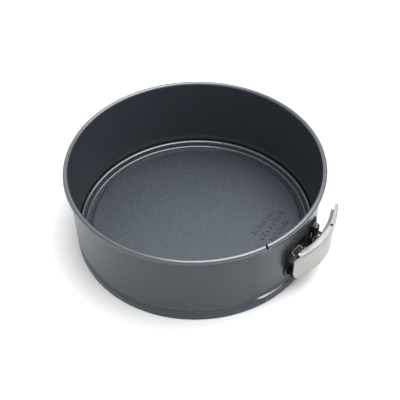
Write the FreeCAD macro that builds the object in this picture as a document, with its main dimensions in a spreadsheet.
import FreeCAD, Part
import math
import os

import Sketcher
from FreeCAD import Placement, Rotation, Vector

# Springform pan: a split sheet-steel ring with an over-centre latch, and a loose base plate.
#
# +Z is up and the origin is on the pan's axis, in the plane that the ring rests on. The latch is at the
# front, towards -Y. Plan angles run from +X towards +Y, and the spreadsheet gives places on the latch as
# degrees to the right of the front.

FRONT = -90.0
FULL_TURN = 360.0

DIMENSIONS = [
    ("margin", 1.0, "how far cutting shapes pass a face, and joined ones overlap"),
    # the rolled ring
    ("wall_inner", 114.3, "inside radius of the wall, a 9 inch pan"),
    ("gauge", 0.6, "thickness of the ring's sheet"),
    ("curl_centre", 116.8, "radius of the rim curl's centre line"),
    ("curl_radius", 2.2, "outside radius of the rim curl's section"),
    ("curl_height", 80.6, "height of the rim curl's centre"),
    ("bead_centre", 117.2, "radius of the bead die's centre line"),
    ("bead_radius", 3.4, "radius of the bead die"),
    ("bead_height", 11.0, "height of the bead's middle"),
    ("hem_inner", 110.5, "inside radius of the flat hem that the ring stands on"),
    ("seam_at", -27.0, "the rim's split, degrees from the front"),
    ("seam_gap", 0.3, "opening of the split, in degrees"),
    ("back_gap", 0.05, "gap between the ring's halves at the back, in degrees"),
    # the outer lap of the left half, under the latch
    ("lap_clearance", 0.3, "gap between the lap and the wall under it"),
    ("lap_low", 14.5, "lower edge of the lap"),
    ("lap_high", 77.5, "upper edge of the lap"),
    ("lap_joint", 4.0, "length of the lap's welded end, in degrees"),
    ("lap_end", -1.0, "free end of the lap, degrees from the front"),
    # the base plate
    ("base_radius", 112.8, "outside radius of the base"),
    ("base_gauge", 0.8, "thickness of the base's sheet"),
    ("base_foot", 0.65, "height of the base's lower edge"),
    ("crown_top", 9.5, "top of the raised rib round the base"),
    ("crown_outer", 111.9, "outer edge of the rib's flat top"),
    ("crown_inner", 110.2, "inner edge of the rib's flat top"),
    ("gutter_outer", 106.8, "foot of the rib's inner flank"),
    ("gutter_inner", 102.0, "inner edge of the ring-shaped gutter"),
    ("floor_edge", 100.5, "edge of the flat floor"),
    ("gutter_top", 4.3, "top of the gutter"),
    ("floor_top", 4.9, "top of the flat floor"),
    # the latch's three axes, in plan
    ("fulcrum_x", -23.6, "lever's pivot on the left bracket"),
    ("fulcrum_y", -121.1, "lever's pivot on the left bracket"),
    ("hook_x", -27.58, "pin that the link hooks on"),
    ("hook_y", -121.46, "pin that the link hooks on"),
    ("keeper_x", 12.5, "link's hinge on the right bracket"),
    ("keeper_y", -118.7, "link's hinge on the right bracket"),
    # the lever
    ("lever_x", 11.0, "centre of the lever's curve"),
    ("lever_y", -52.0, "centre of the lever's curve"),
    ("lever_radius", 80.0, "outside radius of the lever's curve"),
    ("lever_gauge", 1.0, "thickness of the lever's sheet"),
    ("lever_flange", 5.2, "width of the lever's folded edges"),
    ("rest_flange", 6.8, "width of the upper folded edge along the finger rest"),
    ("rest_left", -90.0, "left end of that wider stretch"),
    ("rest_right", -67.5, "right end of that wider stretch"),
    ("lever_low", 22.0, "lower edge of the lever"),
    ("lever_high", 54.0, "upper edge of the lever"),
    ("lever_left", -112.8, "left end of the lever's plate, plan angle about its centre"),
    ("lever_eye", -119.0, "left end of the lever's middle tongue"),
    ("flange_left", -118.8, "left end of the lever's folded edges"),
    ("plate_right", -82.3, "right end of the lever's full height"),
    ("tab_right", -62.2, "end of the finger tab"),
    ("tab_low", 43.0, "lower edge of the finger tab"),
    ("eye_low", 30.5, "lower edge of the lever's middle tongue"),
    ("eye_high", 45.5, "upper edge of the lever's middle tongue"),
    ("eye_radius", 2.9, "outside radius of the lever's rolled eye"),
    ("tab_hole", 1.2, "radius of the hole in the upper folded edge"),
    ("tab_hole_in", 2.2, "distance of that hole's centre from the lever's outer face"),
    ("tab_hole_at", -82.5, "that hole's plan angle about the lever's centre"),
    ("tab_corner", 2.0, "how far the folded edge stops short of the tab's end, in degrees"),
    # the link
    ("link_gauge", 1.0, "thickness of the link's sheet"),
    ("link_low", 26.0, "lower edge of the link"),
    ("link_high", 50.0, "upper edge of the link"),
    ("arm_height", 4.2, "height of each hooked arm"),
    ("arm_start", -13.0, "where the link divides into two arms"),
    ("web_end", 8.9, "where the link's web narrows to its knuckle"),
    ("wedge_left_x", -6.0, "outer left corner of the link's folded edges"),
    ("wedge_left_y", -128.0, "outer left corner of the link's folded edges"),
    ("wedge_right_x", 12.6, "outer right corner of the link's folded edges"),
    ("wedge_right_y", -126.4, "outer right corner of the link's folded edges"),
    ("wedge_root_x", 12.3, "inner right corner of the link's folded edges"),
    ("wedge_root_y", -122.1, "inner right corner of the link's folded edges"),
    ("spacer_x", 7.6, "cross rivet through the link's folded edges"),
    ("spacer_y", -123.8, "cross rivet through the link's folded edges"),
    ("hook_gap", 0.3, "gap between a hook and the pin"),
    ("hook_slack", 1.05, "extra room in the hooks towards the left"),
    ("barrel_radius", 3.0, "outside radius of the keeper hinge's knuckles"),
    ("barrel_low", 24.0, "lower end of the keeper hinge"),
    ("barrel_high", 55.5, "upper end of the keeper hinge"),
    ("barrel_split", 9.0, "length of each of the bracket's two knuckles"),
    ("knuckle_gap", 0.3, "gap between neighbouring knuckles"),
    # pins and rivets
    ("hook_pin", 1.1, "radius of the hook pin"),
    ("hook_pin_room", 0.6, "gap between each end of the hook pin and a lug"),
    ("keeper_pin", 1.6, "radius of the keeper pin"),
    ("keeper_standout", 0.5, "how far the keeper pin stands out of its knuckles"),
    ("fulcrum_pin", 1.2, "radius of the fulcrum rivets"),
    ("fulcrum_head", 2.0, "radius of the fulcrum rivets' heads"),
    ("fulcrum_dome", 0.8, "height of the fulcrum rivets' outer heads"),
    ("fulcrum_clench", 0.5, "height of the fulcrum rivets' inner heads"),
    ("spacer_pin", 1.3, "radius of the link's cross rivet"),
    ("spacer_head", 2.0, "radius of the cross rivet's heads"),
    ("spacer_dome", 0.7, "height of the cross rivet's heads"),
    ("running_gap", 0.05, "radial clearance of a pin that turns"),
    ("rivet_shank", 1.4, "radius of a bracket rivet's shank"),
    ("rivet_head", 2.5, "radius of a bracket rivet's head"),
    ("rivet_dome", 0.9, "height of a bracket rivet's outer head"),
    ("rivet_crown", 1.5, "radius of the flat top of that head"),
    ("rivet_rim", 0.3, "height of that head's edge"),
    ("clench_seat", 0.04, "how far the head inside the pan stands off the curved wall"),
    ("clench_dome", 0.6, "height of that head"),
    ("clench_crown", 1.75, "radius of the flat top of that head"),
    ("clench_rim", 0.2, "height of that head's edge"),
    # the brackets
    ("bracket_gauge", 1.0, "thickness of the brackets' sheet"),
    ("left_from", -15.5, "left end of the left bracket, degrees from the front"),
    ("left_to", -1.8, "right end of the left bracket"),
    ("left_low", 20.0, "lower edge of the left bracket"),
    ("left_high", 60.0, "upper edge of the left bracket"),
    ("window_from", -14.0, "left end of the window behind the lever's eye"),
    ("window_to", -6.4, "right end of the window"),
    ("lug_low", 24.2, "underside of the lower lug"),
    ("lug_high", 51.8, "top of the upper lug"),
    ("lug_radius", 3.3, "half the width of a lug"),
    ("right_from", 4.0, "left end of the right bracket"),
    ("right_to", 13.5, "right end of the right bracket"),
    ("web_from", 5.6, "left side of the webs that carry the keeper's knuckles"),
    ("web_to", 8.4, "right side of those webs"),
    ("web_outer", 117.8, "outside radius of those webs"),
]

# Plan angle from the front and height of each bracket rivet.
LEFT_RIVETS = [(-3.9, 29.0), (-3.9, 47.0), (-11.5, 56.0)]
RIGHT_RIVETS = [(11.0, 28.0), (11.0, 48.0)]

doc = FreeCAD.newDocument("SpringformPan")
dims = doc.addObject("Spreadsheet::Sheet", "Dims")
for row, (alias, value, meaning) in enumerate(DIMENSIONS, start=1):
    dims.set(f"A{row}", meaning)
    dims.set(f"B{row}", str(value))
    dims.setAlias(f"B{row}", alias)
doc.recompute()


def value_of(expression):
    """The number that an expression on the spreadsheet stands for."""
    result = dims.evalExpression(str(expression))
    return float(getattr(result, "Value", result))


def bind(item, **expressions):
    """Tie an object's properties to the spreadsheet; a dot in a path is written as two underscores."""
    for path, expression in expressions.items():
        item.setExpression(path.replace("__", "."), str(expression))


# ---------------------------------------------------------------- primitives and booleans


def turned(item, start, centre_x="0", centre_y="0", base="0"):
    bind(item, Placement__Base__x=centre_x, Placement__Base__y=centre_y, Placement__Base__z=base)
    bind(item, Placement__Rotation__Angle=start)


def cylinder(radius, low, high, centre_x="0", centre_y="0", start="0", sweep=str(FULL_TURN)):
    item = doc.addObject("Part::Cylinder", "Cylinder")
    bind(item, Radius=radius, Height=f"({high}) - ({low})", Angle=sweep)
    turned(item, start, centre_x, centre_y, low)
    return item


def torus(centre_radius, radius, height, start, sweep):
    item = doc.addObject("Part::Torus", "Torus")
    bind(item, Radius1=centre_radius, Radius2=radius, Angle3=sweep)
    turned(item, start, base=height)
    return item


def joined(*items):
    fuse = doc.addObject("Part::MultiFuse", "Fuse")
    fuse.Shapes = list(items)
    fuse.Refine = True
    return fuse


def shared(*items):
    common = doc.addObject("Part::MultiCommon", "Common")
    common.Shapes = list(items)
    return common


def cut(base, *tools):
    difference = doc.addObject("Part::Cut", "Cut")
    difference.Base = base
    difference.Tool = tools[0] if len(tools) == 1 else joined(*tools)
    return difference


def sector(inner, outer, low, high, start, sweep, centre_x="0", centre_y="0"):
    """Part of a tube's wall, from the plan angle start through sweep degrees."""
    whole = cylinder(outer, low, high, centre_x, centre_y, start, sweep)
    return cut(whole, cylinder(inner, f"({low}) - Dims.margin", f"({high}) + Dims.margin",
                               centre_x, centre_y))


def front_sector(inner, outer, low, high, left, right):
    """A sector whose ends are given in degrees to the right of the front."""
    return sector(inner, outer, low, high, f"({left}) + {FRONT}", f"({right}) - ({left})")


def radial_cylinder(radius, inner, outer, at, height):
    """A cylinder whose axis points out from the pan's axis, at degrees from the front."""
    item = doc.addObject("Part::Cylinder", "Bore")
    bind(item, Radius=radius, Height=f"({outer}) - ({inner})")
    item.Placement = radial_placement(value_of(inner), at, height)
    return item


def radial_placement(radius, at, height):
    """Puts local +Z on the outward direction at a plan angle, so local X lies along the wall."""
    angle = FRONT + at
    direction = Vector(math.cos(math.radians(angle)), math.sin(math.radians(angle)), 0)
    turn = Rotation(Vector(0, 0, 1), angle).multiply(Rotation(Vector(0, 1, 0), 90))
    return Placement(direction * radius + Vector(0, 0, height), turn)


def named(item, label):
    item.Label = label
    return item


# ---------------------------------------------------------------- bodies with sketches


def new_body(label):
    body = doc.addObject("PartDesign::Body", "Body_" + label)
    body.Label = label
    return body


def origin_feature(body, role):
    return next(f for f in body.Origin.OriginFeatures if f.Role == role)


def new_sketch(body, name, plane, offset="0"):
    sketch = body.newObject("Sketcher::SketchObject", name)
    sketch.AttachmentSupport = [(origin_feature(body, plane), "")]
    sketch.MapMode = "FlatFace"
    sketch.setExpression("AttachmentOffset.Base.z", str(offset))
    return sketch


def tie_point(sketch, curve, end, x_expression, y_expression):
    """Fix a curve's end at spreadsheet coordinates, on an axis where a coordinate is zero."""
    for kind, axis, expression in (("DistanceX", -2, x_expression), ("DistanceY", -1, y_expression)):
        number = value_of(expression)
        if abs(number) < 1e-9:
            sketch.addConstraint(Sketcher.Constraint("PointOnObject", curve, end, axis))
            continue
        index = sketch.addConstraint(Sketcher.Constraint(kind, -1, 1, curve, end, number))
        sketch.setExpression(f"Constraints[{index}]", str(expression))


def arc_between(first, last, radius, side):
    """The shorter arc between two points; side 1 bulges to the left of the way, -1 to the right."""
    chord = last - first
    half = chord.Length / 2
    rise = radius - math.sqrt(radius * radius - half * half)
    left = Vector(-chord.y, chord.x, 0).normalize()
    return Part.Arc(first, (first + last) * 0.5 + left * (side * rise), last)


def outline(sketch, vertices):
    """A closed outline. A vertex is (x, y) or, where an arc leaves it, (x, y, radius, side)."""
    spots = [Vector(value_of(v[0]), value_of(v[1]), 0) for v in vertices]
    curves = []
    for index, vertex in enumerate(vertices):
        first = spots[index]
        last = spots[(index + 1) % len(spots)]
        if len(vertex) == 2:
            curve = sketch.addGeometry(Part.LineSegment(first, last), False)
            curves.append((curve, 1, 2))
            continue
        radius, side = vertex[2:]
        curve = sketch.addGeometry(arc_between(first, last, value_of(radius), side), False)
        # A sketch arc runs anticlockwise, so one that bulges to the left starts at its last point.
        curves.append((curve, 2, 1) if side > 0 else (curve, 1, 2))
    for index, (curve, start, end) in enumerate(curves):
        following, following_start, _ = curves[(index + 1) % len(curves)]
        sketch.addConstraint(Sketcher.Constraint("Coincident", curve, end, following, following_start))
        tie_point(sketch, curve, start, vertices[index][0], vertices[index][1])
        if len(vertices[index]) > 2:
            radius = vertices[index][2]
            spot = sketch.addConstraint(Sketcher.Constraint("Radius", curve, value_of(radius)))
            sketch.setExpression(f"Constraints[{spot}]", str(radius))


def circle(sketch, x_expression, y_expression, radius):
    centre = Vector(value_of(x_expression), value_of(y_expression), 0)
    curve = sketch.addGeometry(Part.Circle(centre, Vector(0, 0, 1), value_of(radius)), False)
    tie_point(sketch, curve, 3, x_expression, y_expression)
    spot = sketch.addConstraint(Sketcher.Constraint("Radius", curve, value_of(radius)))
    sketch.setExpression(f"Constraints[{spot}]", str(radius))


def pad(body, sketch, length):
    feature = body.newObject("PartDesign::Pad", "Pad")
    feature.Profile = sketch
    feature.setExpression("Length", str(length))
    doc.recompute()
    return feature


def pocket(body, sketch, length):
    """Cuts upwards from a sketch through the body, and stops the script if that removed nothing."""
    before = body.Shape.Volume
    feature = body.newObject("PartDesign::Pocket", "Pocket")
    feature.Profile = sketch
    feature.Reversed = True
    feature.setExpression("Length", str(length))
    doc.recompute()
    if body.Shape.Volume > before - 1e-6:
        raise ValueError(f"{body.Label}: {sketch.Name} cuts nothing")
    return feature


def revolve(body, sketch):
    feature = body.newObject("PartDesign::Revolution", "Revolution")
    feature.Profile = sketch
    feature.ReferenceAxis = (sketch, ["V_Axis"])
    feature.Angle = FULL_TURN
    doc.recompute()
    return feature


# ---------------------------------------------------------------- the ring


WALL_OUTER = "(Dims.wall_inner + Dims.gauge)"
LAP_INNER = "(Dims.wall_inner + Dims.gauge + Dims.lap_clearance)"
LAP_OUTER = f"({LAP_INNER} + Dims.gauge)"
BRACKET_OUTER = f"({LAP_OUTER} + Dims.bracket_gauge)"
KEEPER_OUTER = f"({WALL_OUTER} + Dims.bracket_gauge)"


def ring_section(start, sweep):
    """The wall with its hollow rim curl, inward bead and flat hem, over part of a turn."""
    wall = sector("Dims.wall_inner", WALL_OUTER, "0", "Dims.curl_height", start, sweep)
    hem = sector("Dims.hem_inner", WALL_OUTER, "0", "Dims.gauge", start, sweep)
    curl = torus("Dims.curl_centre", "Dims.curl_radius", "Dims.curl_height", start, sweep)
    bead = torus("Dims.bead_centre", "Dims.bead_radius + Dims.gauge", "Dims.bead_height", start, sweep)
    inside = cylinder(WALL_OUTER, "0", "Dims.curl_height", start=start, sweep=sweep)
    ridge = shared(bead, inside)
    hollow = torus("Dims.curl_centre", "Dims.curl_radius - Dims.gauge", "Dims.curl_height", start, sweep)
    groove = torus("Dims.bead_centre", "Dims.bead_radius", "Dims.bead_height", start, sweep)
    return cut(cut(joined(wall, hem, curl, ridge), hollow), groove)


def rivet_holes(places, inner, outer):
    return [radial_cylinder("Dims.rivet_shank", inner, outer, at, height) for at, height in places]


def band_right():
    start = f"{FRONT} + Dims.seam_at + Dims.seam_gap"
    sweep = "180 - Dims.seam_at - Dims.seam_gap"
    holes = rivet_holes(RIGHT_RIVETS, "Dims.wall_inner - Dims.margin", f"{WALL_OUTER} + Dims.margin")
    return named(cut(ring_section(start, sweep), *holes), "band_right")


def band_left():
    start = "90 + Dims.back_gap"
    sweep = "180 + Dims.seam_at - Dims.back_gap"
    ring = ring_section(start, sweep)
    joint = front_sector("Dims.wall_inner + Dims.gauge / 2", LAP_OUTER, "Dims.lap_low", "Dims.lap_high",
                         "Dims.seam_at - Dims.lap_joint", "Dims.seam_at")
    lap = front_sector(LAP_INNER, LAP_OUTER, "Dims.lap_low", "Dims.lap_high",
                       "Dims.seam_at - Dims.margin", "Dims.lap_end")
    holes = rivet_holes(LEFT_RIVETS, f"{LAP_INNER} - Dims.margin", f"{LAP_OUTER} + Dims.margin")
    return named(cut(joined(ring, joint, lap), *holes), "band_left")


# ---------------------------------------------------------------- the base plate


def base_plate():
    body = new_body("base_plate")
    sketch = new_sketch(body, "BaseSection", "XZ_Plane")
    outline(sketch, [
        ("0", "Dims.floor_top"),
        ("0", "Dims.floor_top - Dims.base_gauge"),
        ("Dims.floor_edge", "Dims.floor_top - Dims.base_gauge"),
        ("Dims.gutter_inner", "Dims.gutter_top - Dims.base_gauge"),
        ("Dims.gutter_outer + Dims.base_gauge / 2", "Dims.gutter_top - Dims.base_gauge"),
        ("Dims.crown_inner + Dims.base_gauge / 2", "Dims.crown_top - Dims.base_gauge"),
        ("Dims.base_radius - Dims.base_gauge", "Dims.crown_top - Dims.base_gauge"),
        ("Dims.base_radius - Dims.base_gauge", "Dims.base_foot"),
        ("Dims.base_radius", "Dims.base_foot"),
        ("Dims.base_radius", "Dims.crown_top - Dims.base_radius + Dims.crown_outer"),
        ("Dims.crown_outer", "Dims.crown_top"),
        ("Dims.crown_inner", "Dims.crown_top"),
        ("Dims.gutter_outer", "Dims.gutter_top"),
        ("Dims.gutter_inner", "Dims.gutter_top"),
        ("Dims.floor_edge", "Dims.floor_top"),
    ])
    revolve(body, sketch)
    return body


# ---------------------------------------------------------------- the brackets


def left_bracket():
    plate = front_sector(LAP_OUTER, BRACKET_OUTER, "Dims.left_low", "Dims.left_high",
                         "Dims.left_from", "Dims.left_to")
    window = front_sector(f"{LAP_OUTER} - Dims.margin", f"{BRACKET_OUTER} + Dims.margin",
                          "Dims.lug_low + Dims.bracket_gauge", "Dims.lug_high - Dims.bracket_gauge",
                          "Dims.window_from", "Dims.window_to")
    parts = [cut(plate, window)]
    fulcrum_radius = "sqrt(Dims.fulcrum_x ^ 2 + Dims.fulcrum_y ^ 2)"
    fulcrum_at = "atan(Dims.fulcrum_x / -Dims.fulcrum_y) / 1deg"
    half_width = f"(Dims.lug_radius / {fulcrum_radius} * 57.2958)"
    levels = [("Dims.lug_low", "Dims.lug_low + Dims.bracket_gauge"),
              ("Dims.lug_high - Dims.bracket_gauge", "Dims.lug_high")]
    for low, high in levels:
        parts.append(front_sector(LAP_OUTER, fulcrum_radius, low, high,
                                  f"{fulcrum_at} - {half_width}", f"{fulcrum_at} + {half_width}"))
        parts.append(cylinder("Dims.lug_radius", low, high, "Dims.fulcrum_x", "Dims.fulcrum_y"))
    bore = cylinder("Dims.fulcrum_pin", "Dims.left_low", "Dims.left_high",
                    "Dims.fulcrum_x", "Dims.fulcrum_y")
    holes = rivet_holes(LEFT_RIVETS, f"{LAP_OUTER} - Dims.margin", f"{BRACKET_OUTER} + Dims.margin")
    return named(cut(joined(*parts), bore, *holes), "left_bracket")


def right_bracket():
    plate = front_sector(WALL_OUTER, KEEPER_OUTER, "Dims.barrel_low", "Dims.barrel_high",
                         "Dims.right_from", "Dims.right_to")
    parts = [plate]
    levels = [("Dims.barrel_low", "Dims.barrel_low + Dims.barrel_split"),
              ("Dims.barrel_high - Dims.barrel_split", "Dims.barrel_high")]
    for low, high in levels:
        parts.append(cylinder("Dims.barrel_radius", low, high, "Dims.keeper_x", "Dims.keeper_y"))
        parts.append(front_sector(WALL_OUTER, "Dims.web_outer", low, high, "Dims.web_from", "Dims.web_to"))
    bore = cylinder("Dims.keeper_pin", "Dims.left_low", "Dims.left_high",
                    "Dims.keeper_x", "Dims.keeper_y")
    holes = rivet_holes(RIGHT_RIVETS, f"{WALL_OUTER} - Dims.margin", f"{KEEPER_OUTER} + Dims.margin")
    return named(cut(joined(*parts), bore, *holes), "right_bracket")


# ---------------------------------------------------------------- the lever


def lever_point(radius, angle):
    return (f"Dims.lever_x + ({radius}) * cos({angle})", f"Dims.lever_y + ({radius}) * sin({angle})")


def lever_strip(body, name, low, height, inner, outer, left, right):
    """A curved strip of the lever, between two radii about its centre, padded up from low."""
    sketch = new_sketch(body, name, "XY_Plane", low)
    outline(sketch, [
        (*lever_point(outer, left), outer, -1),
        lever_point(outer, right),
        (*lever_point(inner, right), inner, 1),
        lever_point(inner, left),
    ])
    pad(body, sketch, height)


def lever():
    body = new_body("lever")
    inner = "Dims.lever_radius - Dims.lever_gauge"
    folded = "Dims.lever_radius - Dims.lever_flange"
    outer = "Dims.lever_radius"
    full = "Dims.lever_high - Dims.lever_low"
    lever_strip(body, "Plate", "Dims.lever_low", full, inner, outer, "Dims.lever_left", "Dims.plate_right")
    lever_strip(body, "Tab", "Dims.tab_low", "Dims.lever_high - Dims.tab_low", inner, outer,
                "Dims.plate_right - Dims.margin", "Dims.tab_right")
    lever_strip(body, "TopFlange", "Dims.lever_high - Dims.lever_gauge", "Dims.lever_gauge",
                folded, outer, "Dims.flange_left", "Dims.tab_right - Dims.tab_corner")
    lever_strip(body, "FingerRest", "Dims.lever_high - Dims.lever_gauge", "Dims.lever_gauge",
                "Dims.lever_radius - Dims.rest_flange", outer, "Dims.rest_left", "Dims.rest_right")
    lever_strip(body, "BottomFlange", "Dims.lever_low", "Dims.lever_gauge",
                folded, outer, "Dims.flange_left", "Dims.plate_right")
    lever_strip(body, "Tongue", "Dims.eye_low", "Dims.eye_high - Dims.eye_low", inner, outer,
                "Dims.lever_eye", "Dims.lever_left + Dims.margin")
    eye = new_sketch(body, "Eye", "XY_Plane", "Dims.eye_low")
    circle(eye, "Dims.hook_x", "Dims.hook_y", "Dims.eye_radius")
    pad(body, eye, "Dims.eye_high - Dims.eye_low")
    bores = new_sketch(body, "Bores", "XY_Plane", "Dims.lever_low - Dims.margin")
    circle(bores, "Dims.hook_x", "Dims.hook_y", "Dims.hook_pin")
    circle(bores, "Dims.fulcrum_x", "Dims.fulcrum_y", "Dims.fulcrum_pin + Dims.running_gap")
    pocket(body, bores, f"{full} + 2 * Dims.margin")
    tab_hole = new_sketch(body, "TabHole", "XY_Plane", "Dims.lever_high - Dims.lever_gauge - Dims.margin")
    hole_x, hole_y = lever_point("Dims.lever_radius - Dims.tab_hole_in", "Dims.tab_hole_at")
    circle(tab_hole, hole_x, hole_y, "Dims.tab_hole")
    pocket(body, tab_hole, "Dims.lever_gauge + 2 * Dims.margin")
    return body


# ---------------------------------------------------------------- the link


WEB_INNER_Y = "(Dims.keeper_y - Dims.barrel_radius + Dims.link_gauge)"
WEB_OUTER_Y = "(Dims.keeper_y - Dims.barrel_radius)"
ARM_INNER_Y = "(Dims.hook_y - Dims.hook_pin - Dims.hook_gap)"
ARM_OUTER_Y = f"({ARM_INNER_Y} - Dims.link_gauge)"
HOOK_INNER_X = "(Dims.hook_x - Dims.hook_pin - Dims.hook_gap - Dims.hook_slack)"
HOOK_OUTER_X = f"({HOOK_INNER_X} - Dims.link_gauge)"
WEB_RUN = f"(Dims.keeper_x - {HOOK_OUTER_X})"


def web_y(edge_at_keeper, edge_at_hook, x):
    """Where a face of the link's straight sheet lies at a plan x."""
    fall = f"(({edge_at_hook}) - ({edge_at_keeper})) / {WEB_RUN}"
    return f"({edge_at_keeper}) + {fall} * (Dims.keeper_x - ({x}))"


def link_strip(body, name, low, high, left, right):
    """The straight sheet between two plan x, from low to high."""
    sketch = new_sketch(body, name, "XY_Plane", low)
    outline(sketch, [
        (left, web_y(WEB_OUTER_Y, ARM_OUTER_Y, left)),
        (right, web_y(WEB_OUTER_Y, ARM_OUTER_Y, right)),
        (right, web_y(WEB_INNER_Y, ARM_INNER_Y, right)),
        (left, web_y(WEB_INNER_Y, ARM_INNER_Y, left)),
    ])
    pad(body, sketch, f"({high}) - ({low})")


def link_arm(body, name, low):
    """An arm that passes outside the hook pin and turns in round its far side."""
    sketch = new_sketch(body, name, "XY_Plane", low)
    right = "Dims.arm_start + Dims.margin"
    outline(sketch, [
        (HOOK_OUTER_X, ARM_OUTER_Y),
        (right, web_y(WEB_OUTER_Y, ARM_OUTER_Y, right)),
        (right, web_y(WEB_INNER_Y, ARM_INNER_Y, right)),
        (HOOK_INNER_X, web_y(WEB_INNER_Y, ARM_INNER_Y, HOOK_INNER_X)),
        (HOOK_INNER_X, "Dims.hook_y + Dims.hook_pin"),
        (HOOK_OUTER_X, "Dims.hook_y + Dims.hook_pin"),
    ])
    pad(body, sketch, "Dims.arm_height")


def link_flange(body, name, low):
    """A wedge-shaped edge folded out towards the lever."""
    sketch = new_sketch(body, name, "XY_Plane", low)
    left = "Dims.arm_start + Dims.margin"
    outline(sketch, [
        (left, web_y(WEB_OUTER_Y, ARM_OUTER_Y, left)),
        ("Dims.wedge_left_x", "Dims.wedge_left_y"),
        ("Dims.wedge_right_x", "Dims.wedge_right_y"),
        ("Dims.wedge_root_x", "Dims.wedge_root_y"),
        ("Dims.web_end", web_y(WEB_OUTER_Y, ARM_OUTER_Y, "Dims.web_end")),
        ("Dims.web_end", web_y(WEB_INNER_Y, ARM_INNER_Y, "Dims.web_end")),
        (left, web_y(WEB_INNER_Y, ARM_INNER_Y, left)),
    ])
    pad(body, sketch, "Dims.link_gauge")


def link():
    body = new_body("link")
    knuckle_low = "(Dims.barrel_low + Dims.barrel_split + Dims.knuckle_gap)"
    knuckle_high = "(Dims.barrel_high - Dims.barrel_split - Dims.knuckle_gap)"
    link_strip(body, "Web", "Dims.link_low", "Dims.link_high", "Dims.arm_start", "Dims.web_end")
    link_arm(body, "LowerArm", "Dims.link_low")
    link_arm(body, "UpperArm", "Dims.link_high - Dims.arm_height")
    link_flange(body, "LowerFlange", "Dims.link_low")
    link_flange(body, "UpperFlange", "Dims.link_high - Dims.link_gauge")
    link_strip(body, "Leaf", knuckle_low, knuckle_high, "Dims.web_end - Dims.margin", "Dims.keeper_x")
    barrel = new_sketch(body, "Barrel", "XY_Plane", knuckle_low)
    circle(barrel, "Dims.keeper_x", "Dims.keeper_y", "Dims.barrel_radius")
    pad(body, barrel, f"{knuckle_high} - {knuckle_low}")
    bores = new_sketch(body, "Bores", "XY_Plane", "Dims.link_low - Dims.margin")
    circle(bores, "Dims.keeper_x", "Dims.keeper_y", "Dims.keeper_pin + Dims.running_gap")
    circle(bores, "Dims.spacer_x", "Dims.spacer_y", "Dims.spacer_pin")
    pocket(body, bores, "Dims.link_high - Dims.link_low + 2 * Dims.margin")
    return body


# ---------------------------------------------------------------- pins and rivets


def pin(label, radius, low, high, x, y):
    return named(cylinder(radius, low, high, x, y), label)


def headed_pin(label, radius, head, levels, x, y):
    """A pin with a flat head at each end; levels are the four heights from bottom to top."""
    bottom, low, high, top = levels
    return named(joined(cylinder(head, bottom, low, x, y), cylinder(radius, low, high, x, y),
                        cylinder(head, high, top, x, y)), label)


def bracket_rivet(label, at, height, seat, grip, inner_head):
    """A rivet through a bracket and the sheet under it; seat is the sheet's inner radius."""
    body = new_body(label)
    sketch = new_sketch(body, "RivetSection", "XZ_Plane")
    vertices = [
        ("0", f"({grip}) + Dims.rivet_dome"),
        ("Dims.rivet_crown", f"({grip}) + Dims.rivet_dome"),
        ("Dims.rivet_head", f"({grip}) + Dims.rivet_rim"),
        ("Dims.rivet_head", grip),
        ("Dims.rivet_shank", grip),
    ]
    if inner_head:
        vertices += [
            ("Dims.rivet_shank", "-Dims.clench_seat"),
            ("Dims.rivet_head", "-Dims.clench_seat"),
            ("Dims.rivet_head", "-Dims.clench_rim"),
            ("Dims.clench_crown", "-Dims.clench_dome"),
            ("0", "-Dims.clench_dome"),
        ]
    else:
        vertices += [("Dims.rivet_shank", "Dims.running_gap"), ("0", "Dims.running_gap")]
    outline(sketch, vertices)
    revolve(body, sketch)
    body.Placement = radial_placement(value_of(seat), at, height)
    return body


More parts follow.
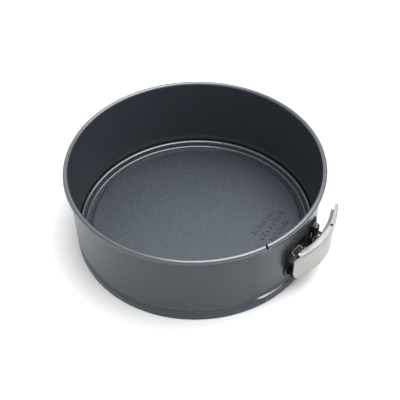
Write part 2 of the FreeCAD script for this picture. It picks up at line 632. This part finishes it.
def fasteners():
    lower_seat = "Dims.lug_low + Dims.bracket_gauge"
    upper_seat = "Dims.lug_high - Dims.bracket_gauge"
    made = [
        pin("hook_pin", "Dims.hook_pin", f"{lower_seat} + Dims.hook_pin_room",
            f"{upper_seat} - Dims.hook_pin_room", "Dims.hook_x", "Dims.hook_y"),
        pin("keeper_pin", "Dims.keeper_pin", "Dims.barrel_low - Dims.keeper_standout",
            "Dims.barrel_high + Dims.keeper_standout", "Dims.keeper_x", "Dims.keeper_y"),
        headed_pin("upper_fulcrum_rivet", "Dims.fulcrum_pin", "Dims.fulcrum_head",
                   [f"{upper_seat} - Dims.fulcrum_clench", upper_seat, "Dims.lever_high + Dims.running_gap",
                    "Dims.lever_high + Dims.running_gap + Dims.fulcrum_dome"],
                   "Dims.fulcrum_x", "Dims.fulcrum_y"),
        headed_pin("lower_fulcrum_rivet", "Dims.fulcrum_pin", "Dims.fulcrum_head",
                   ["Dims.lever_low - Dims.running_gap - Dims.fulcrum_dome",
                    "Dims.lever_low - Dims.running_gap", lower_seat, f"{lower_seat} + Dims.fulcrum_clench"],
                   "Dims.fulcrum_x", "Dims.fulcrum_y"),
        headed_pin("link_cross_rivet", "Dims.spacer_pin", "Dims.spacer_head",
                   ["Dims.link_low - Dims.spacer_dome", "Dims.link_low",
                    "Dims.link_high", "Dims.link_high + Dims.spacer_dome"],
                   "Dims.spacer_x", "Dims.spacer_y"),
    ]
    grip = "Dims.gauge + Dims.bracket_gauge"
    for number, (at, height) in enumerate(LEFT_RIVETS, start=1):
        made.append(bracket_rivet(f"left_bracket_rivet_{number}", at, height, LAP_INNER, grip, False))
    for number, (at, height) in enumerate(RIGHT_RIVETS, start=1):
        label = f"right_bracket_rivet_{number}"
        made.append(bracket_rivet(label, at, height, "Dims.wall_inner", grip, True))
    return made


# ---------------------------------------------------------------- checks and files


parts = [band_right(), band_left(), base_plate(), left_bracket(), right_bracket(), lever(), link()]
parts += fasteners()
doc.recompute()

for item in doc.Objects:
    if {"Invalid", "Error"} & set(item.State):
        raise ValueError(f"{item.Label} failed: {item.State}")
for item in parts:
    if item.Shape.isNull() or not item.Shape.isValid():
        raise ValueError(f"{item.Label} has no valid shape")

os.makedirs("parts", exist_ok=True)
for item in parts:
    item.Shape.exportStep(f"parts/{item.Label}.step")
    print(item.Label, len(item.Shape.Solids), round(item.Shape.Volume, 1))
